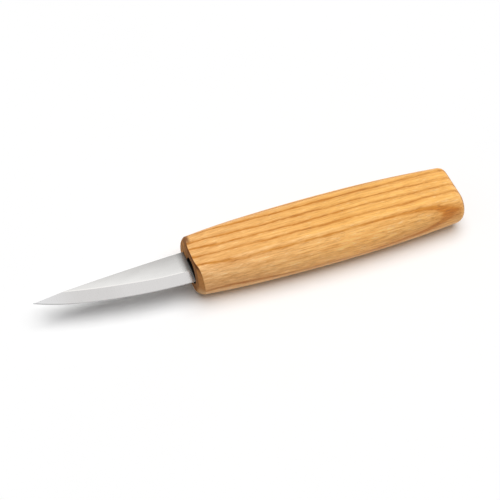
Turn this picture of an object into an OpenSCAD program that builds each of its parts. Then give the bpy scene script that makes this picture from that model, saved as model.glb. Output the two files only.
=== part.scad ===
// Wood carving knife: a short pointed steel blade whose tang is bedded in epoxy in a one-piece ash handle.
// It lies on a broad face of the handle: +X points to the butt, -X to the tip, -Y is the cutting edge's side.
// The sub-parts are drawn about the middle of the handle's front face, with +X running into the handle.

/* [Blade] */
// Length of the blade, from the handle's front face to the tip
blade_l = 60; // [50:1:80]
// Width of the blade where it meets the handle
heel_w = 15.1; // [12:0.1:17]
// Thickness of the steel
blade_t = 2; // [1.5:0.1:3]
// Fall of the spine from the handle to the tip
tip_drop = 4.4; // [3:0.1:7]
// How far the spine bows out from a straight line
spine_bow = 0.45; // [0.2:0.05:1.5]
// Where the edge starts to curve up more tightly to the tip, as a share of the blade's length
curve_at = 0.7; // [0.65:0.01:0.8]
// Share of the edge's whole rise that is behind it there
curve_share = 0.42; // [0.3:0.01:0.45]
// Width of the ground bevel, square to the edge
bevel_w = 5.2; // [3:0.1:6.5]
// Thickness left at the cutting edge
edge_t = 0.1; // [0.05:0.05:0.3]
// Width left at the very tip
tip_w = 0.2; // [0.1:0.05:0.5]
// How far the middle of the heel sits to the edge's side of the handle's axis
heel_offset = 0.3; // [-1:0.1:1]

/* [Tang] */
// Length of the tang, from the handle's front face
tang_l = 62; // [40:1:80]
// Width of the tang at the blade's shoulders
tang_w = 8; // [6:0.1:9]
// How far the grind of the bevels runs on along the tang
grind_in = 4; // [2:0.5:8]
// Width of the tang at its end
tang_end_w = 5; // [4:0.1:6]
// Radius of the tang's end corners
tang_end_r = 1.5; // [0.5:0.1:2]

/* [Handle] */
// Length of the handle
handle_l = 110; // [95:1:140]
// Width at the front face, spine side to edge side
front_w = 24; // [22:0.1:30]
// Width at the widest place
belly_w = 29.8; // [24:0.1:36]
// Width at the butt
butt_w = 24.5; // [22:0.1:30]
// Thickness at the front face
front_t = 15; // [13:0.1:18]
// Thickness between the planed broad faces
belly_t = 17.8; // [15:0.1:22]
// Thickness at the butt
butt_t = 13.6; // [11:0.1:18]
// Distance from the front face to the widest place
belly_x = 53; // [45:1:70]
// Where the flat of the broad faces starts, from the front face
flat_start = 24; // [15:1:30]
// Where the flat of the broad faces ends, from the front face
flat_end = 68; // [55:1:80]
// Width of the broad faces between the soft ridges
flat_w = 16.4; // [12:0.1:20]
// Radius that softens the ridges
ridge_r = 2.5; // [1:0.1:4]
// Radius of the front face's rim on the broad faces
front_r = 0.4; // [0.2:0.1:1.2]
// Radius of the front face's rim on the narrow sides
front_side_r = 2.1; // [1.2:0.1:3]
// Radius of the butt's rim
butt_r = 3; // [1:0.1:5]

/* [Hole and epoxy] */
// Diameter of the hole that is drilled for the tang
hole_d = 10.5; // [10:0.1:11.5]
// How far the hole sits to the edge's side of the handle's axis
hole_offset = 2.2; // [0:0.1:2.5]
// Room beyond the end of the tang
hole_end_room = 4; // [2:0.5:8]
// Depth of the epoxy's surface behind the front face
epoxy_recess = 2.5; // [1:0.1:4]

/* [Smoothness] */
// Segments in the side of a cross-section, from ridge to widest point
side_steps = 7; // [4:1:12]
// Segments in a softened ridge
ridge_steps = 3; // [2:1:6]
// Segments in a rounded rim
rim_steps = 6; // [3:1:10]
// Longest segment along the body of the handle
station_l = 4; // [2:0.5:8]
// Segments along the blade, from the tip to the end of its grind
blade_steps = 48; // [24:4:80]

/* [Hidden] */
$fn = 96;

// Overshoot that lets a cutter pass clear of a face
past = 1;
// Where the bevel's upper line runs near the tip, as a share of the way from the edge to the spine
run_out_share = 0.97;
// Power by which the blade's stations crowd toward the tip
tip_crowding = 1.5;

// Places across the heel, +Y being the spine's side
spine_y = heel_w / 2 - heel_offset;
edge_y = spine_y - heel_w;
hole_y = -hole_offset;

// The cutting edge leaves the handle parallel to its axis in a slack arc; a tighter one takes it to the tip
tip = [-blade_l, spine_y - tip_drop];
curve_run = curve_at * blade_l;
curve_rise = curve_share * (heel_w - tip_drop);
curve_start = [-curve_run, edge_y + curve_rise];
curve_turn = 2 * atan2(curve_rise, curve_run);
edge_normal = [-sin(curve_turn), -cos(curve_turn)];
edge_r = curve_run / sin(curve_turn);
edge_centre = curve_start - edge_r * edge_normal;
curve_chord = tip - curve_start;
tip_r = -(curve_chord * curve_chord) / (2 * curve_chord * edge_normal);
tip_centre = curve_start - tip_r * edge_normal;

// The spine is a slack arc over the chord from the heel to the tip
spine_chord = norm([blade_l, tip_drop]);
spine_r = spine_chord ^ 2 / (8 * spine_bow) + spine_bow / 2;
spine_lean = atan2(tip_drop, blade_l);
spine_middle = ([0, spine_y] + tip) / 2;
spine_centre = spine_middle - (spine_r - spine_bow) * [-sin(spine_lean), cos(spine_lean)];

// The grind runs a little way into the full thickness of the tang
grind_end = grind_in + past;
hole_l = tang_l + hole_end_room;

// The origin is under the middle of the whole knife, on the surface that it lies on
front_x = (blade_l - handle_l) / 2;
axis_z = belly_t / 2;

// Half width of the handle: it swells evenly from either end to the belly
function half_width(x) =
    let (end_w = x < belly_x ? front_w : butt_w)
    let (reach = x < belly_x ? belly_x : handle_l - belly_x)
    (belly_w - (belly_w - end_w) * ((x - belly_x) / reach) ^ 2) / 2;

// Half thickness of the handle: flat over the middle, easing down to either end
function half_thickness(x) =
    let (front = max(0, 1 - x / flat_start))
    let (rear = max(0, (x - flat_end) / (handle_l - flat_end)))
    (belly_t - (belly_t - front_t) * front ^ 2 - (belly_t - butt_t) * rear ^ 2) / 2;

// How far a rim of radius r has drawn in the section at distance d from the end
function rim_inset(d, r) = d < r ? r - sqrt(r ^ 2 - (r - d) ^ 2) : 0;

// Stations along the body of the handle, with one at each place where its curves change
knots = [front_side_r, flat_start, min(belly_x, flat_end), max(belly_x, flat_end), handle_l - butt_r];
body_stations = [for (k = [1 : len(knots) - 1])
    let (span = knots[k] - knots[k - 1])
    let (steps = ceil(span / station_l))
    each [for (i = [1 : 1 : steps]) knots[k - 1] + span * i / steps]];

// All stations, closer together in the two rounded rims
stations = concat(
    [for (i = [0 : rim_steps]) front_side_r * (1 - cos(90 * i / rim_steps))],
    body_stations,
    [for (i = [1 : rim_steps]) handle_l - butt_r * (1 - sin(90 * i / rim_steps))]
);

// Quarter of a cross-section, from the flat's end over the ridge to the widest point:
// the side is an arc through the flat's nominal corner, and ridge_r rounds the corner off
function quarter(a, b, c) =
    let (side_y = (a ^ 2 - b ^ 2 - c ^ 2) / (2 * (a - c)))
    let (side_r = a - side_y)
    let (ridge = min(ridge_r, b / 2))
    let (ridge_y = side_y + sqrt((side_r - ridge) ^ 2 - (b - ridge) ^ 2))
    let (turn = atan2(b - ridge, ridge_y - side_y))
    concat(
        [for (i = [0 : ridge_steps - 1])
            let (angle = 90 - (90 - turn) * i / ridge_steps)
            [ridge_y + ridge * cos(angle), b - ridge + ridge * sin(angle)]],
        [for (i = [0 : side_steps])
            let (angle = turn * (1 - i / side_steps))
            [side_y + side_r * cos(angle), side_r * sin(angle)]]
    );

// Whole cross-section at a station, once round from the top flat
function section(x) =
    let (butt_inset = rim_inset(handle_l - x, butt_r))
    let (side_inset = rim_inset(x, front_side_r) + butt_inset)
    let (face_inset = rim_inset(x, front_r) + butt_inset)
    let (q = quarter(half_width(x) - side_inset, half_thickness(x) - face_inset, flat_w / 2 - side_inset))
    let (last = len(q) - 1)
    concat(
        [for (i = [0 : last]) [x, q[i].x, q[i].y]],
        [for (i = [last - 1 : -1 : 0]) [x, q[i].x, -q[i].y]],
        [for (i = [0 : last]) [x, -q[i].x, -q[i].y]],
        [for (i = [last - 1 : -1 : 0]) [x, -q[i].x, q[i].y]]
    );

// Line in the blade that runs at a depth in from the cutting edge: depth 0 is the edge itself
function edge_line(x, depth) =
    let (in_tip = x < curve_start.x - depth * edge_normal.x)
    let (centre = in_tip ? tip_centre : edge_centre)
    let (r = (in_tip ? tip_r : edge_r) - depth)
    centre.y - sqrt(r ^ 2 - (x - centre.x) ^ 2);

// Depth of a point of the blade, square in from the cutting edge
function edge_depth(p) =
    let (in_tip = (p - curve_start) * [edge_normal.y, -edge_normal.x] > 0)
    in_tip ? tip_r - norm(p - tip_centre) : edge_r - norm(p - edge_centre);

// Spine of the blade
function spine_line(x) = spine_centre.y + sqrt(spine_r ^ 2 - (x - spine_centre.x) ^ 2);

// Half thickness of the steel at a depth from the cutting edge: a wedge as far as the bevel goes
function half_steel(depth) = (edge_t + (blade_t - edge_t) * min(depth / bevel_w, 1)) / 2;

// Cross-section of the blade at a station, once round from the spine;
// toward the tip, where the bevel takes in the whole width, its upper line runs on just below the spine
function blade_section(x) =
    let (edge = edge_line(x, 0))
    let (spine = max(spine_line(x), edge + tip_w))
    let (spine_depth = edge_depth([x, spine]))
    let (bevel_depth = min(bevel_w, spine_depth * run_out_share))
    let (bevel = edge_line(x, bevel_depth))
    let (spine_h = half_steel(spine_depth))
    let (bevel_h = half_steel(bevel_depth))
    [
        [x, spine, spine_h],
        [x, spine, -spine_h],
        [x, bevel, -bevel_h],
        [x, edge, -edge_t / 2],
        [x, edge, edge_t / 2],
        [x, bevel, bevel_h]
    ];

// Stations along the blade, closer together toward the tip
blade_stations = [for (i = [0 : blade_steps])
    (blade_l + grind_end) * (i / blade_steps) ^ tip_crowding - blade_l];

// Closed skin over a row of rings that all have the same number of points
module skin(rings) {
    n = len(rings[0]);
    m = len(rings);
    wall = [for (j = [0 : m - 2], i = [0 : n - 1])
        let (a = j * n + i)
        let (b = j * n + (i + 1) % n)
        each [[a, b, b + n], [a, b + n, a + n]]];
    caps = [[for (i = [n - 1 : -1 : 0]) i], [for (i = [0 : n - 1]) (m - 1) * n + i]];
    polyhedron([for (ring = rings) each ring], concat(wall, caps));
}

// Puts a sub-part drawn about the front face where it lies in the knife
module in_knife() {
    translate([front_x, 0, axis_z])
        children();
}

// Ground blade from the tip to its shoulders, with the start of the tang between them
module ground_blade() {
    difference() {
        skin([for (x = blade_stations) blade_section(x)]);
        for (side = [-1, 1])
            translate([0, hole_y + (side * (tang_w + heel_w) - heel_w) / 2, -blade_t])
                cube([grind_end + past, heel_w, 2 * blade_t]);
    }
}

// Tang at its full thickness, from where the grind stops; it tapers evenly to its round-cornered end
module tang() {
    end_x = tang_l - tang_end_r;
    corner = tang_end_w / 2 - tang_end_r;
    translate([0, hole_y, -blade_t / 2]) {
        linear_extrude(blade_t)
            polygon([
                [grind_in, -tang_w / 2],
                [grind_in, tang_w / 2],
                [grind_end, tang_w / 2],
                [end_x, tang_end_w / 2],
                [tang_l, corner],
                [tang_l, -corner],
                [end_x, -tang_end_w / 2],
                [grind_end, -tang_w / 2]
            ]);
        for (y = [-corner, corner])
            translate([end_x, y, 0])
                cylinder(h = blade_t, r = tang_end_r);
    }
}

module steel() {
    union() {
        ground_blade();
        tang();
    }
}

// Round rod where the hole runs, from one depth to another
module hole(from, to) {
    translate([from, hole_y, 0])
        rotate([0, 90, 0])
            cylinder(h = to - from, d = hole_d);
}

module blade() {
    color("silver")
        in_knife()
            steel();
}

module handle() {
    color("burlywood")
        in_knife()
            difference() {
                skin([for (x = stations) section(x)]);
                hole(-past, hole_l);
            }
}

module tang_epoxy() {
    color("dimgray")
        in_knife()
            difference() {
                hole(epoxy_recess, hole_l);
                steel();
            }
}

blade();
handle();
tang_epoxy();
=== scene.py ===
import math

import bmesh
import bpy
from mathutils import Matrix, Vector


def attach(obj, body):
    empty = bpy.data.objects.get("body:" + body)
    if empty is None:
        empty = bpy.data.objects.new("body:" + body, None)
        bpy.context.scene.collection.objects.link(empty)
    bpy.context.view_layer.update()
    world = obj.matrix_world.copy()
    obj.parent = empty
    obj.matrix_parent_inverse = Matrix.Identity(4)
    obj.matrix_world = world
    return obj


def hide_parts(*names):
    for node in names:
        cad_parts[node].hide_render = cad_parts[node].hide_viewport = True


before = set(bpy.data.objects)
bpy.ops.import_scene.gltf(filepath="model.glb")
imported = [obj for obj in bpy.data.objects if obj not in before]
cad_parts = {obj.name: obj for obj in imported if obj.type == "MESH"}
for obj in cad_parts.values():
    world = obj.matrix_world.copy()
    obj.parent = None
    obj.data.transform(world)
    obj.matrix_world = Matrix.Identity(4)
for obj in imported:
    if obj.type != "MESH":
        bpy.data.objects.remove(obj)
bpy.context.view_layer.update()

MM = 0.001

# Blade, in millimetres, as in the part's source
blade_l = 60
heel_w = 15.1
blade_t = 2
tip_drop = 4.4
spine_bow = 0.45
curve_at = 0.7
curve_share = 0.42
bevel_w = 5.2
edge_t = 0.1
tip_w = 0.2
heel_offset = 0.3

# Tang and its hole
tang_l = 62
tang_w = 8
tang_end_w = 5
tang_end_r = 1.5
grind_in = 4
hole_d = 10.5
hole_offset = 2.2
hole_end_room = 4

# Handle
handle_l = 110
front_w = 24
belly_w = 29.8
butt_w = 24.5
front_t = 15
belly_t = 17.8
butt_t = 13.6
belly_x = 53
flat_start = 24
flat_end = 68
flat_w = 16.4
ridge_r = 2.5
front_r = 0.4
front_side_r = 2.1
butt_r = 3

# The front rim is cut by hand: it reaches less far back on the spine's side,
# and farther at the bottom of the edge's side
rim_spine_r = 1.5
rim_lean = 0.1
rim_edge_span = (4, 11)
rim_spine_span = (2, 10)

# Its section lies between a quarter circle, at a power of 1, and a straight chamfer, at 2,
# and a narrow ring on each side of it keeps the faces' shading flat
rim_power = 1.5
rim_hold = 0.2

# The bevel is ground a little wider along the middle of the blade
bevel_gain = 0.5
bevel_widens = (-10, -28)
bevel_narrows = (-52, -42)

# The spine's corners are broken, by less where the blade is narrow
spine_break = 0.12
spine_break_share = 0.1

# The bevel line is softened over small facets: how far each lies from the line, in steps of the softening,
# how far in from the edge it may lie at most, as a share of the way to the spine, and how far it is sunk
bevel_soft = 0.22
bevel_facets = ((1, 0.97, 0), (0.3, 0.96, 0.16), (-0.3, 0.95, 0.16), (-1, 0.94, 0))

# How finely the meshes are cut
body_steps = 84
round_steps = 14
blade_steps = 110
blade_crowding = 1.5
corner_steps = 8
sharp_angle = math.radians(40)

# Floor, light and camera; the places are in millimetres in the knife's frame
floor_half = 3000
floor_cells = 8
floor_drop = 0.02
sky_strength = 0.21
sun_strength = 2.54
sun_width = math.radians(64)
sun_way = Vector((-0.18, 0, -1))
sensor_w = 36
lens = 114.405
camera_at = Vector((-144.43, -382.52, 455.96))
camera_aim = Vector((-0.511, 0.051, 8.78))
clip_near = 10
clip_far = 20000

# Worked out from the sizes
front_x = (blade_l - handle_l) / 2
axis_z = belly_t / 2
spine_y = heel_w / 2 - heel_offset
edge_y = spine_y - heel_w
hole_y = -hole_offset
hole_l = tang_l + hole_end_room


def place(x, y, z):
    """A point in millimetres about the middle of the handle's front face, in metres about the origin."""
    return Vector((x + front_x, y, z + axis_z)) * MM


def ease(value, start, end):
    """0 at start and 1 at end, with a soft turn at both."""
    share = min(max((value - start) / (end - start), 0), 1)
    return share ** 2 * (3 - 2 * share)


def show(name, data):
    """Object in the scene that holds the data."""
    thing = bpy.data.objects.new(name, data)
    bpy.context.scene.collection.objects.link(thing)
    return thing


def finished_mesh(name, bm, material):
    mesh = bpy.data.meshes.new(name)
    bm.to_mesh(mesh)
    bm.free()
    mesh.materials.append(material)
    return mesh


def make_piece(name, bm, node, material):
    """A finished mesh as a piece that stands for a CAD node."""
    bmesh.ops.recalc_face_normals(bm, faces=bm.faces)
    piece = show(name, finished_mesh(name, bm, material))
    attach(piece, "root")
    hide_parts(node)
    return piece


def skin(bm, rings):
    """Closed skin over a row of rings that all have the same number of points."""
    loops = [[bm.verts.new(p) for p in ring] for ring in rings]
    n = len(loops[0])
    for a, b in zip(loops, loops[1:]):
        for i in range(n):
            bm.faces.new((a[i], a[(i + 1) % n], b[(i + 1) % n], b[i]))
    bm.faces.new(loops[0])
    bm.faces.new(loops[-1])


# Handle

def half_width(x):
    end_w, reach = (front_w, belly_x) if x < belly_x else (butt_w, handle_l - belly_x)
    return (belly_w - (belly_w - end_w) * ((x - belly_x) / reach) ** 2) / 2


def half_thickness(x):
    front = max(0, 1 - x / flat_start)
    rear = max(0, (x - flat_end) / (handle_l - flat_end))
    return (belly_t - (belly_t - front_t) * front ** 2 - (belly_t - butt_t) * rear ** 2) / 2


def butt_inset(d):
    """How far the butt's rounding lies inside the handle's outline, at a distance from the butt's end."""
    return butt_r - math.sqrt(butt_r ** 2 - (butt_r - d) ** 2) if d < butt_r else 0


def quarter(a, b, c, flat_steps=6, ridge_steps=6, side_steps=16):
    """Quarter of a cross-section, from the middle of the flat over the soft ridge to the widest point.

    a is half the width, b half the thickness and c half the flat's width.
    """
    side_y = (a ** 2 - b ** 2 - c ** 2) / (2 * (a - c))
    side_r = a - side_y
    ridge = min(ridge_r, b / 2)
    ridge_y = side_y + math.sqrt((side_r - ridge) ** 2 - (b - ridge) ** 2)
    turn = math.atan2(b - ridge, ridge_y - side_y)
    points = [(ridge_y * i / flat_steps, b) for i in range(flat_steps)]
    for i in range(ridge_steps):
        angle = math.pi / 2 - (math.pi / 2 - turn) * i / ridge_steps
        points.append((ridge_y + ridge * math.cos(angle), b - ridge + ridge * math.sin(angle)))
    for i in range(side_steps + 1):
        angle = turn * (1 - i / side_steps)
        points.append((side_y + side_r * math.cos(angle), side_r * math.sin(angle)))
    return points


def handle_section(x):
    """Cross-section of the handle without its front rim, as (y, z) points from the top flat's middle."""
    inset = butt_inset(handle_l - x)
    q = quarter(half_width(x) - inset, half_thickness(x) - inset, flat_w / 2 - inset)
    back = q[-2::-1]
    return q + [(y, -z) for y, z in back] + [(-y, -z) for y, z in q[1:]] + [(-y, z) for y, z in back[:-1]]


def rim_reach(y, z):
    """How far the front rim reaches back at a point of the front face's outline."""
    if y < 0:
        return front_r + (front_side_r - rim_lean * z - front_r) * ease(-y, *rim_edge_span)
    return front_r + (rim_spine_r - front_r) * ease(y, *rim_spine_span)


def front_rim():
    """Rings from the flat of the front face over its rim, each point as far back as the rim reaches there."""
    face = [Vector(p) for p in handle_section(0)]
    reaches = [rim_reach(*p) for p in face]
    chords = [b - a for a, b in zip(face[-1:] + face[:-1], face[1:] + face[:1])]
    normals = [Vector((-c.y, c.x)).normalized() for c in chords]
    if normals[0].y < 0:
        normals = [-v for v in normals]
    path = [(0, 1, rim_hold)]
    for i in range(round_steps + 1):
        turn = math.pi / 2 * i / round_steps
        path.append((1 - math.cos(turn) ** rim_power, 1 - math.sin(turn) ** rim_power, 0))
    rings = []
    for back, inset, more in path:
        ring = []
        for k, (reach, normal) in enumerate(zip(reaches, normals)):
            y, z = Vector(handle_section(reach * back)[k]) - (reach * inset + more) * normal
            ring.append((reach * back, y, z))
        rings.append(ring)
    ends = [reach + rim_hold for reach in reaches]
    rings.append([(end, *handle_section(end)[k]) for k, end in enumerate(ends)])
    return rings


def hole_outline(directions):
    """The drilled hole's outline where rays from the handle's axis meet it."""
    points = []
    for y, z in directions:
        d = math.hypot(y, z)
        reach = hole_y * y / d + math.sqrt((hole_d / 2) ** 2 - (hole_y * z / d) ** 2)
        points.append((reach * y / d, reach * z / d))
    return points


def handle_mesh():
    rim = front_rim()
    start = front_side_r + rim_lean * front_t
    stop = handle_l - butt_r
    stations = [start + (stop - start) * i / body_steps for i in range(body_steps + 1)]
    stations += [stop + butt_r * math.sin(math.pi / 2 * i / round_steps) for i in range(1, round_steps + 1)]
    mouth = hole_outline([(y, z) for x, y, z in rim[0]])
    rings = [[place(x, y, z) for y, z in mouth] for x in (hole_l, 0)]
    rings += [[place(*p) for p in ring] for ring in rim]
    rings += [[place(x, y, z) for y, z in handle_section(x)] for x in stations]
    bm = bmesh.new()
    skin(bm, rings)
    for f in bm.faces:
        f.smooth = True
    return bm


# Blade: the cutting edge is two arcs that meet smoothly, and the spine is one slack arc

run = curve_at * blade_l
rise = curve_share * (heel_w - tip_drop)
curve_turn = 2 * math.atan2(rise, run)
edge_normal = Vector((-math.sin(curve_turn), -math.cos(curve_turn)))
curve_start = Vector((-run, edge_y + rise))
edge_r = run / math.sin(curve_turn)
edge_centre = curve_start - edge_r * edge_normal
tip = Vector((-blade_l, spine_y - tip_drop))
tip_chord = tip - curve_start
tip_r = -tip_chord.length_squared / (2 * tip_chord.dot(edge_normal))
tip_centre = curve_start - tip_r * edge_normal
spine_chord = math.hypot(blade_l, tip_drop)
spine_r = spine_chord ** 2 / (8 * spine_bow) + spine_bow / 2
spine_lean = math.atan2(tip_drop, blade_l)
spine_centre = ((Vector((0, spine_y)) + tip) / 2
                - (spine_r - spine_bow) * Vector((-math.sin(spine_lean), math.cos(spine_lean))))


def edge_line(x, depth):
    """Line in the blade that runs at a depth in from the cutting edge."""
    in_tip = x < curve_start.x - depth * edge_normal.x
    centre = tip_centre if in_tip else edge_centre
    r = (tip_r if in_tip else edge_r) - depth
    return centre.y - math.sqrt(r ** 2 - (x - centre.x) ** 2)


def edge_depth(x, y):
    """How far in from the cutting edge a point lies."""
    p = Vector((x, y))
    in_tip = (p - curve_start).dot(Vector((edge_normal.y, -edge_normal.x))) > 0
    return tip_r - (p - tip_centre).length if in_tip else edge_r - (p - edge_centre).length


def spine_line(x):
    return spine_centre.y + math.sqrt(spine_r ** 2 - (x - spine_centre.x) ** 2)


def bevel_at(x):
    return bevel_w + bevel_gain * ease(x, *bevel_widens) * ease(x, *bevel_narrows)


def half_steel(depth, bevel):
    """Half the steel's thickness at a depth in from the cutting edge."""
    return (edge_t + (blade_t - edge_t) * min(depth / bevel, 1)) / 2


def blade_section(x):
    """Cross-section of the blade: broken spine corners, flats, a softened bevel line and the bevels."""
    edge = edge_line(x, 0)
    spine = max(spine_line(x), edge + tip_w)
    spine_depth = edge_depth(x, spine)
    corner = min(spine_break, spine_break_share * spine_depth)
    bevel = bevel_at(x)
    slope = (blade_t - edge_t) / 2 / bevel
    flat_depth = spine_depth - corner
    upper = [(spine, half_steel(spine_depth, bevel) - corner),
             (edge_line(x, flat_depth), half_steel(flat_depth, bevel))]
    for offset, most, sunk in bevel_facets:
        depth = min(bevel + offset * bevel_soft, most * spine_depth)
        upper.append((edge_line(x, depth), half_steel(depth, bevel) - sunk * bevel_soft * slope))
    upper.append((edge, edge_t / 2))
    return upper[::-1] + [(y, -z) for y, z in upper]


def tang_start(x):
    """Cross-section of the tang between the shoulders, where the grind of the bevels still shows."""
    low, high = hole_y - tang_w / 2, hole_y + tang_w / 2
    upper = [(high, blade_t / 2),
             (edge_line(x, bevel_w), blade_t / 2),
             (low, half_steel(edge_depth(x, low), bevel_w))]
    return upper[::-1] + [(y, -z) for y, z in upper]


def tang_outline():
    """Outline of the tang behind the grind, as (x, y) points, with its two end corners rounded."""
    end_x = tang_l - tang_end_r
    corner_y = tang_end_w / 2 - tang_end_r
    outline = [(grind_in, hole_y - tang_w / 2), (grind_in, hole_y + tang_w / 2),
               (end_x, hole_y + tang_end_w / 2)]
    for centre_y, start in ((hole_y + corner_y, math.pi / 2), (hole_y - corner_y, 0)):
        for i in range(1, corner_steps + 1):
            angle = start - math.pi / 2 * i / corner_steps
            outline.append((end_x + tang_end_r * math.cos(angle), centre_y + tang_end_r * math.sin(angle)))
    return outline


def blade_mesh():
    stations = [blade_l * (i / blade_steps) ** blade_crowding - blade_l for i in range(blade_steps + 1)]
    outline = tang_outline()
    bm = bmesh.new()
    skin(bm, [[place(x, y, z) for y, z in blade_section(x)] for x in stations])
    skin(bm, [[place(x, y, z) for y, z in tang_start(x)] for x in (0, grind_in / 2, grind_in)])
    skin(bm, [[place(x, y, z) for x, y in outline] for z in (-blade_t / 2, blade_t / 2)])
    return bm


# Materials

def srgb(*values):
    """Colour written as 0 to 255 display values."""
    linear = [v / 255 / 12.92 if v <= 10 else ((v / 255 + 0.055) / 1.055) ** 2.4 for v in values]
    return (*linear, 1)


def grey(level):
    """Grey as a share of white."""
    return (level, level, level, 1)


white = grey(1)

# Colours of the wood along its grain
pale_front = srgb(247, 190, 119)
pale_rear = srgb(253, 193, 107)
band_brown = srgb(206, 134, 50)
fleck_pale = srgb(255, 213, 148)
pore_brown = srgb(176, 112, 50)
# Painted bounce light from the floor, on the wood that faces down
bounce_pale = srgb(250, 214, 164)

# Colours of the end grain and of the front rim
end_dark = srgb(104, 61, 26)
end_light = srgb(176, 113, 52)
rim_dark = srgb(160, 102, 50)
rim_light = srgb(210, 146, 80)
rim_flat = srgb(96, 54, 22)
rim_flat_spine = srgb(136, 94, 60)
# Painted bounce light from the floor, on the rim's underside
rim_under_bounce = srgb(222, 180, 128)
corner_brown = srgb(138, 92, 54)
arris_brown = srgb(140, 90, 42)

# Colours of the steel
flat_spine = srgb(186, 184, 182)
flat_bevel = srgb(237, 236, 234)
bevel_tip = srgb(228, 228, 229)
bevel_middle = srgb(212, 210, 209)
bevel_heel = srgb(217, 215, 214)
bevel_glint = srgb(243, 241, 238)
edge_reflection_grey = srgb(116, 116, 116)
heel_shade_grey = srgb(84, 88, 87)

# Colours of the glue: on the tang and in the wood around the hole, near black as painted shade in the hole,
# and as a lump
glue_and_shade_on_steel = (srgb(14, 11, 8), srgb(26, 20, 15))
glue_and_shade_in_wood = (srgb(12, 8, 5), srgb(24, 16, 9))
glue_lump = (srgb(24, 18, 12), srgb(48, 37, 27))


class Nodes:
    """The node tree of a material or a world, with short calls for the nodes used here."""

    def __init__(self, owner):
        self.owner = owner
        owner.use_nodes = True
        self.tree = owner.node_tree
        self.tree.nodes.clear()

    def add(self, kind, inputs, output=0, **settings):
        node = self.tree.nodes.new("ShaderNode" + kind)
        for key, value in settings.items():
            setattr(node, key, value)
        for key, value in inputs.items():
            if isinstance(value, bpy.types.NodeSocket):
                self.tree.links.new(value, node.inputs[key])
            else:
                node.inputs[key].default_value = value
        return node.outputs[output]

    def math(self, operation, a, b=0.0):
        return self.add("Math", {0: a, 1: b}, operation=operation)

    def product(self, *values):
        result = values[0]
        for value in values[1:]:
            result = self.math("MULTIPLY", result, value)
        return result

    def total(self, *values):
        result = values[0]
        for value in values[1:]:
            result = self.math("ADD", result, value)
        return result

    def span(self, value, low, high, to_low=0.0, to_high=1.0, smooth=False):
        """value taken from low..high to to_low..to_high, and held at the ends."""
        inputs = {0: value, 1: low, 2: high, 3: to_low, 4: to_high}
        return self.add("MapRange", inputs, interpolation_type="SMOOTHSTEP" if smooth else "LINEAR")

    def between(self, share, a, b):
        """a where the share is 0 and b where it is 1."""
        return self.span(share, 0, 1, a, b)

    def seen(self):
        """1 for what the camera sees, straight, mirrored or through glass, and 0 for light on its way."""
        rays = self.add("LightPath", {}).node.outputs
        straight = self.math("MAXIMUM", rays["Is Camera Ray"], rays["Is Glossy Ray"])
        return self.math("MAXIMUM", straight, rays["Is Transmission Ray"])

    def finish(self, kind, shader):
        self.tree.links.new(shader, self.tree.nodes.new("ShaderNodeOutput" + kind).inputs[0])
        return self.owner


class Material(Nodes):
    """The nodes of a material, which know where a point lies and which way it faces.

    Places are in millimetres about the middle of the handle's front face.
    """

    def __init__(self, name):
        super().__init__(bpy.data.materials.new(name))
        metres = self.add("TexCoord", {}, "Object")
        self.at = self.add("VectorMath", {0: metres, 1: (1 / MM,) * 3, 2: (-front_x, 0, -axis_z)},
                           operation="MULTIPLY_ADD")
        self.x, self.y, self.z = self.axes(self.at)
        self.normal_x, self.normal_y, self.normal_z = self.axes(self.add("NewGeometry", {}, "Normal"))
        self.steep = self.math("ABSOLUTE", self.normal_z)

    def axes(self, vector):
        return list(self.add("SeparateXYZ", {0: vector}).node.outputs)

    def noise(self, scale, detail=2.0, roughness=0.5, shift=0.0):
        """Noise from 0 to 1 about 0.5, with its own scale, in waves per millimetre, along each axis."""
        at = self.add("VectorMath", {0: self.at, 1: scale, 2: (shift,) * 3}, operation="MULTIPLY_ADD")
        return self.add("TexNoise", {"Vector": at, "Scale": 1.0, "Detail": detail, "Roughness": roughness})

    def ramp(self, value, stops):
        """Grey levels along value, from (position, level) stops."""
        node = self.add("ValToRGB", {0: value}).node
        elements = node.color_ramp.elements
        while len(elements) < len(stops):
            elements.new(1.0)
        for element, (at, level) in zip(elements, stops):
            element.position = at
            element.color = grey(level)
        return node.outputs[0]

    def mix(self, factor, a, b):
        return self.add("Mix", {0: factor, 6: a, 7: b}, 2, data_type="RGBA")

    def scaled(self, colour, factor):
        return self.add("VectorMath", {0: colour, "Scale": factor}, operation="SCALE")

    def tinted(self, colour, tint):
        return self.add("VectorMath", {0: colour, 1: tint}, operation="MULTIPLY")

    def tinted_where(self, factor, colour, tint):
        return self.tinted(colour, self.mix(factor, white, (*tint, 1)))

    def bump(self, height, depth, strength):
        return self.add("Bump", {"Strength": strength, "Distance": depth * MM, "Height": height})

    def surface(self, **sockets):
        inputs = {key.replace("_", " "): value for key, value in sockets.items()}
        return self.finish("Material", self.add("BsdfPrincipled", inputs))


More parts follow.
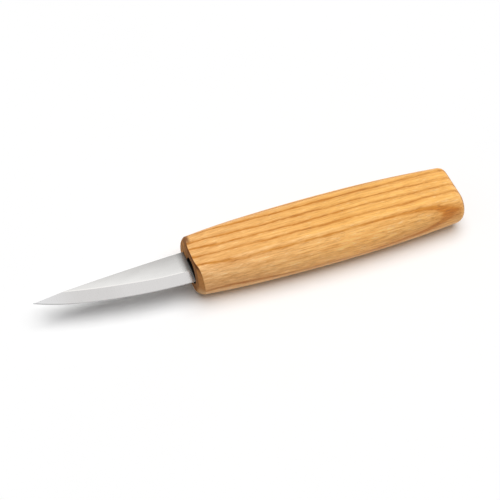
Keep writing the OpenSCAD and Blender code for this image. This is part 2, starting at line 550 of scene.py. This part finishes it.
def growth_rings(n, cut_along):
    """How strong the dark band of pores is with which each year starts, in bowed and tilted sheets."""
    # The sheets lie nearly upright along the handle and flare to the spine's side at both ends
    sheet_y, sheet_z = 0.922, -0.387
    across = n.add("VectorMath", {0: n.at, 1: (0, sheet_y, sheet_z)}, 1, operation="DOT_PRODUCT")
    front_flare = n.product(n.math("POWER", n.span(n.x, 20, 0), 2.0), 1.96)
    middle_bow = n.product(n.math("POWER", n.span(n.x, 65, 0), 2.0), 1.18)
    rear_flare = n.product(n.math("POWER", n.span(n.x, 80, 110), 2.0), n.span(n.y, -11, -5, -0.5, 1.2))
    near_bulge = n.product(n.span(n.x, 48, 68, smooth=True), n.span(n.x, 104, 88, smooth=True),
                           n.span(n.y, -7, -9.5), 0.45)
    bow = n.total(front_flare, middle_bow, rear_flare, near_bulge)

    # They waver, but hardly where a face is cut nearly along them
    facing = n.math("ABSOLUTE", n.total(n.product(n.normal_y, sheet_y), n.product(n.normal_z, sheet_z)))
    calm = n.span(facing, 0.6, 0.95, 1.0, 0.15)
    drift = n.span(n.noise((0.025, 0.1, 0.1), shift=17.4), 0, 1, -0.9, 0.9)
    wobble = n.span(n.noise((0.09, 0.5, 0.5), shift=57.7), 0, 1, -0.7, 0.7)
    ragged = n.span(n.noise((0.4, 2.4, 2.4), 3.0), 0, 1, -0.3, 0.3)
    waves = n.total(drift, n.product(n.total(wobble, ragged), calm))
    ring = n.total(n.math("SUBTRACT", across, bow), waves)

    # Where each year starts across the sheets, and how its band fades through the year
    years = (-20, -16.2, -12.45, -8.25, -4.45, -1.25, 2.75, 6.5, 10.3, 14.2, 18)
    fade = ((0, 1), (0.05, 0.95), (0.1, 0.5), (0.24, 0.14), (0.45, 0),
            (0.7, 0.08), (0.87, 0.28), (0.95, 0.85), (1, 1))
    low, high = years[0], years[-1]
    count = len(years) - 1
    starts = [((year - low) / (high - low), i / count) for i, year in enumerate(years)]
    age = n.ramp(n.span(ring, low, high), starts)
    band = n.ramp(n.math("FRACT", n.product(age, count)), fade)

    # The bands are patchy, weaker on the flats towards the butt, and stronger where they are cut along
    patches = n.span(n.noise((0.06, 0.35, 0.35), shift=32.4), 0.32, 0.68, 0.75, 1.3)
    breaks = n.span(n.noise((0.22, 1.6, 1.6), 2.0, 0.6, shift=40.7), 0.32, 0.68, 0.72, 1.25)
    rear_flat = n.product(n.span(n.x, 60, 105), n.span(n.steep, 0.85, 0.97))
    return n.product(band, patches, breaks, n.between(cut_along, 1.0, 1.5), n.between(rear_flat, 1.0, 0.7))


def long_grain(n, early, cut_along, fibre, streak, pores):
    """Colour of the wood along its grain: pale years, dark bands, pores as dark dashes, flecks and fibres."""
    side = n.span(n.steep, 0.95, 0.5)
    flecks = n.span(n.noise((0.3, 1.9, 1.9), 2.0, 0.6, shift=31.0), 0.56, 0.68, to_high=0.55, smooth=True)
    flecks = n.product(flecks, n.span(early, 0.15, 0.6, 1.0, 0.0))
    wood = n.mix(n.span(n.x, 0, 60), pale_front, pale_rear)
    wood = n.mix(early, wood, band_brown)
    wood = n.mix(flecks, wood, fleck_pale)
    wood = n.mix(pores, wood, pore_brown)

    # The fibres show more on the sides than on the flats
    grain = n.total(n.product(fibre, 0.4), n.product(streak, 0.6))
    reach = n.between(side, 0.2, 0.11)
    grain = n.span(grain, n.math("SUBTRACT", 0.5, reach), n.math("ADD", 0.5, reach))
    dark = n.mix(side, (0.77, 0.65, 0.48, 1), (0.81, 0.635, 0.445, 1))
    light = n.mix(side, (1.17, 1.22, 1.33, 1), (1.14, 1.2, 1.38, 1))
    wood = n.tinted(wood, n.mix(grain, dark, light))

    # Warm where a band is cut along, and the sides change in tone along the handle
    wood = n.tinted_where(n.product(cut_along, early), wood, (1.06, 0.98, 0.84))
    shade = n.product(n.span(n.x, 10, 65, 0.94, 1.06), n.span(n.x, 68, 84, 1.0, 0.91))
    wood = n.scaled(wood, n.between(side, 1.0, shade))
    cloud = n.noise((0.02, 0.12, 0.12))
    wood = n.scaled(wood, n.span(cloud, 0.3, 0.7, 0.96, 1.03))

    # The upper ridge on the edge's side is painted paler and greyer, most towards the front, as painted
    # sheen, and the wood that faces down is painted pale, as painted bounce light from the floor
    near = n.span(n.y, 4, -4)
    ridge = n.product(near, n.span(n.normal_z, 0.25, 0.75, smooth=True),
                      n.span(n.steep, 0.999, 0.97, smooth=True))
    wood = n.tinted_where(ridge, wood, (1.05, 1.1, 1.26))
    crest_sheen = n.product(near, n.span(n.normal_z, 0.72, 0.88), n.span(n.steep, 0.999, 0.97), n.span(n.x, 82, 66))
    wood = n.tinted_where(crest_sheen, wood, (1.04, 1.1, 1.22))
    facing_down = n.span(n.normal_z, -0.15, -0.55, to_high=0.5, smooth=True)
    return n.mix(facing_down, wood, bounce_pale)


def end_grain(n, wood, early, streak, dots):
    """The wood with its darker ends, and how much of a point is end grain."""
    front = n.math("MULTIPLY", n.normal_x, -1.0)
    top = n.span(n.normal_z, 0.3, 0.7, smooth=True)
    by_spine = n.span(n.y, 1, 7, smooth=True)

    # The cut ends, with their bands and pores; the front one is painted darker by the blade and paler and
    # greyer by the spine, as painted shade
    specks = n.span(n.noise((0.9, 3.2, 3.2), 2.0, 0.6, shift=11.0), 0.5, 0.66, smooth=True)
    bands = n.total(n.product(early, 0.4), n.product(specks, n.span(early, 0, 0.6, 0.08, 0.3)))
    end = n.scaled(n.mix(dots, end_dark, end_light), n.math("SUBTRACT", 1.0, bands))
    front_tint = n.mix(by_spine, (1.25, 1.32, 1.36, 1), (2.0, 2.3, 2.7, 1))
    end = n.tinted(end, n.mix(n.span(n.normal_x, 0.2, 0.7), front_tint, grey(1.5)))

    # At the front the end grain runs out over the rim, where it is dark by the flats and painted pale
    # underneath, as painted bounce light from the floor
    rim = n.mix(top, n.mix(dots, rim_dark, rim_light), n.mix(by_spine, rim_flat, rim_flat_spine))
    rim = n.mix(n.span(n.normal_z, -0.1, -0.5), rim, rim_under_bounce)
    rim = n.mix(n.span(front, -0.5, 0.0), end, rim)
    end = n.mix(n.span(front, 0.97, 0.8, smooth=True), end, rim)
    butt_x = n.math("ADD", n.normal_x, n.span(streak, 0.3, 0.7, -0.14, 0.14))
    at_butt = n.span(butt_x, 0.62, 0.9, smooth=True)
    at_front = n.span(front, n.between(top, 0.1, 0.2), n.between(top, 0.42, 0.3), smooth=True)
    share = n.math("MAXIMUM", at_butt, at_front)
    wood = n.mix(share, wood, end)

    # It stains the corner by the spine, and is darkest along the arris of the broad faces
    corner = n.product(n.span(n.y, 3, 7, smooth=True), n.span(n.x, 2.7, 1.7), n.span(front, 0.6, 0.2))
    wood = n.mix(corner, wood, corner_brown)
    arris = n.product(n.span(front, 0.14, 0.24), n.span(front, 0.6, 0.35), n.between(top, 0.15, 0.6))
    return n.mix(arris, wood, arris_brown), share


def glue_and_shade_in_hole(n):
    """1 on the drilled hole's walls and end: soaked with glue, and painted near black as painted shade."""
    into_wall, past_end = 0.2, 1
    off_axis = n.add("VectorMath", {0: n.at, 1: (0, 1, 1), 2: (0, -hole_y, 0)}, operation="MULTIPLY_ADD")
    off_axis = n.add("VectorMath", {0: off_axis}, 1, operation="LENGTH")
    return n.product(n.span(n.x, 0.02, 0.3), n.math("LESS_THAN", n.x, hole_l + past_end),
                     n.math("LESS_THAN", off_axis, hole_d / 2 + into_wall))


def ash_wood():
    """Ash whose growth rings run through the whole handle, so that every face shows them as it is cut."""
    n = Material("ash")
    # By the butt, on the edge's side, the bands are cut nearly along their sheets
    cut_along = n.product(n.span(n.x, 54, 84, smooth=True), n.span(n.y, -9.5, -11.5, smooth=True))
    early = growth_rings(n, cut_along)
    fibre = n.noise((0.035, 1.0, 1.0), 3.0, 0.65)
    streak = n.noise((0.14, 1.8, 1.8), 3.0, 0.7, shift=7.0)
    dots = n.noise((0.8, 1.5, 1.5), 3.0)
    pores = n.span(n.noise((0.25, 2.0, 2.0), 2.0, 0.6, shift=19.0), 0.54, 0.66, smooth=True)
    pores = n.product(pores, n.total(n.product(early, 0.5), 0.22))
    wood = long_grain(n, early, cut_along, fibre, streak, pores)
    wood, ends = end_grain(n, wood, early, streak, dots)
    glue_and_shade = glue_and_shade_in_hole(n)
    wood = n.mix(glue_and_shade, wood, n.mix(dots, *glue_and_shade_in_wood))
    sheen = n.span(fibre, 0.3, 0.7, 0.48, 0.62)
    height = n.math("SUBTRACT", n.product(fibre, 0.6), pores)
    return n.surface(Base_Color=wood, Roughness=n.between(n.math("MAXIMUM", ends, glue_and_shade), sheen, 0.9),
                     Specular_IOR_Level=0.5, Normal=n.bump(height, 0.05, 0.4))


def ground_steel():
    """Satin steel: flats painted brighter from the spine to the bevel line as a painted reflection, and
    bevels with fine lines.
    """
    n = Material("ground_steel")
    cloud = n.noise((0.12, 0.3, 0.3))
    lines = n.noise((4.0, 0.3, 0.3), 2.0, 0.6)

    # Flats, bevels and the painted highlight along the line where they meet, told apart by how far they lean
    reflection_glow = n.total(n.product(n.y, -4.9), n.product(n.x, -0.7), n.span(cloud, 0.3, 0.7, -3, 3))
    flat = n.mix(n.span(reflection_glow, -32, 20), flat_spine, flat_bevel)
    bevel = n.mix(n.span(n.x, -34, -25, smooth=True), bevel_middle, bevel_heel)
    bevel = n.mix(n.span(n.x, -60, -44), bevel_tip, bevel)
    bevel = n.scaled(bevel, n.span(lines, 0.3, 0.7, 0.985, 1.015))
    on_bevel = n.span(n.steep, 0.991, 0.9868)
    steel = n.mix(on_bevel, flat, bevel)
    bevel_line = n.product(n.span(n.steep, 0.99985, 0.9995), n.span(n.steep, 0.988, 0.992),
                           n.span(n.x, -56, -42, smooth=True))
    steel = n.mix(bevel_line, steel, bevel_glint)

    # A thin dark line along the edge, a painted dark reflection plainest at the tip, painted shade by the
    # handle, and glue over the tang, painted near black as painted shade in the hole
    edge_reflection = n.product(n.span(n.math("ABSOLUTE", n.z), 0.1, 0.06), n.span(n.x, -54, -42, 1.0, 0.45))
    steel = n.mix(edge_reflection, steel, edge_reflection_grey)
    # Painted shade and dark reflection of the handle's face, on the steel by the heel
    heel_shade = n.span(n.x, n.between(on_bevel, -4.2, -1.6), 0.0, smooth=True)
    heel_shade = n.product(heel_shade, n.between(on_bevel, 0.6, 0.36))
    steel = n.mix(heel_shade, steel, heel_shade_grey)
    glue_and_shade = n.span(n.x, -0.4, 0.1)
    steel = n.mix(glue_and_shade, steel, n.mix(cloud, *glue_and_shade_on_steel))
    metallic = n.math("SUBTRACT", 1.0, n.math("MAXIMUM", glue_and_shade, heel_shade))
    roughness = n.total(n.span(lines, 0.25, 0.75, 0.18, 0.24), n.product(glue_and_shade, 0.6))
    return n.surface(Base_Color=steel, Metallic=metallic, Roughness=roughness, Specular_IOR_Level=0.15,
                     Normal=n.bump(lines, 0.001, 0.1))


def dark_epoxy():
    n = Material("dark_epoxy")
    grain = n.noise((0.9, 0.9, 0.9), 3.0)
    roughness = n.span(grain, 0.3, 0.7, 0.45, 0.65)
    return n.surface(Base_Color=n.mix(grain, *glue_lump), Roughness=roughness, Specular_IOR_Level=0.15,
                     Normal=n.bump(grain, 0.1, 0.5))


def pale_floor():
    """White to the eye, and pale grey in the light that it throws back at the knife."""
    n = Material("pale_floor")
    cloud = n.noise((0.01, 0.01, 0.01))
    thrown = n.mix(cloud, grey(0.84), grey(0.8))
    shown = n.mix(cloud, white, grey(0.99))
    return n.surface(Base_Color=n.mix(n.seen(), thrown, shown), Roughness=0.9, Specular_IOR_Level=0.0)


# Pieces

handle = make_piece("handle_wood", handle_mesh(), "handle", ash_wood())
handle.data.set_sharp_from_angle(angle=sharp_angle)
make_piece("blade_steel", blade_mesh(), "blade", ground_steel())

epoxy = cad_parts["tang_epoxy"]
epoxy.data.materials.clear()
epoxy.data.materials.append(dark_epoxy())

# Floor, light and camera

grid = bmesh.new()
bmesh.ops.create_grid(grid, x_segments=floor_cells, y_segments=floor_cells, size=floor_half * MM)
floor = show("floor", finished_mesh("floor", grid, pale_floor()))
floor.location.z = -floor_drop * MM

sky = Nodes(bpy.data.worlds.new("studio"))
strength = sky.between(sky.seen(), sky_strength, 1.0)
bpy.context.scene.world = sky.finish("World", sky.add("Background", {"Color": white, "Strength": strength}))

softbox = show("softbox", bpy.data.lights.new("softbox", "SUN"))
softbox.data.energy = sun_strength
softbox.data.angle = sun_width
softbox.rotation_mode = "QUATERNION"
softbox.rotation_quaternion = sun_way.to_track_quat("-Z", "Y")
softbox.visible_glossy = False

camera = show("camera", bpy.data.cameras.new("camera"))
camera.data.sensor_width = sensor_w
camera.data.lens = lens
camera.data.clip_start = clip_near * MM
camera.data.clip_end = clip_far * MM
camera.location = camera_at * MM
camera.rotation_mode = "QUATERNION"
camera.rotation_quaternion = (camera_aim - camera_at).to_track_quat("-Z", "Y")
bpy.context.scene.camera = camera
bpy.context.scene.view_settings.view_transform = "Standard"
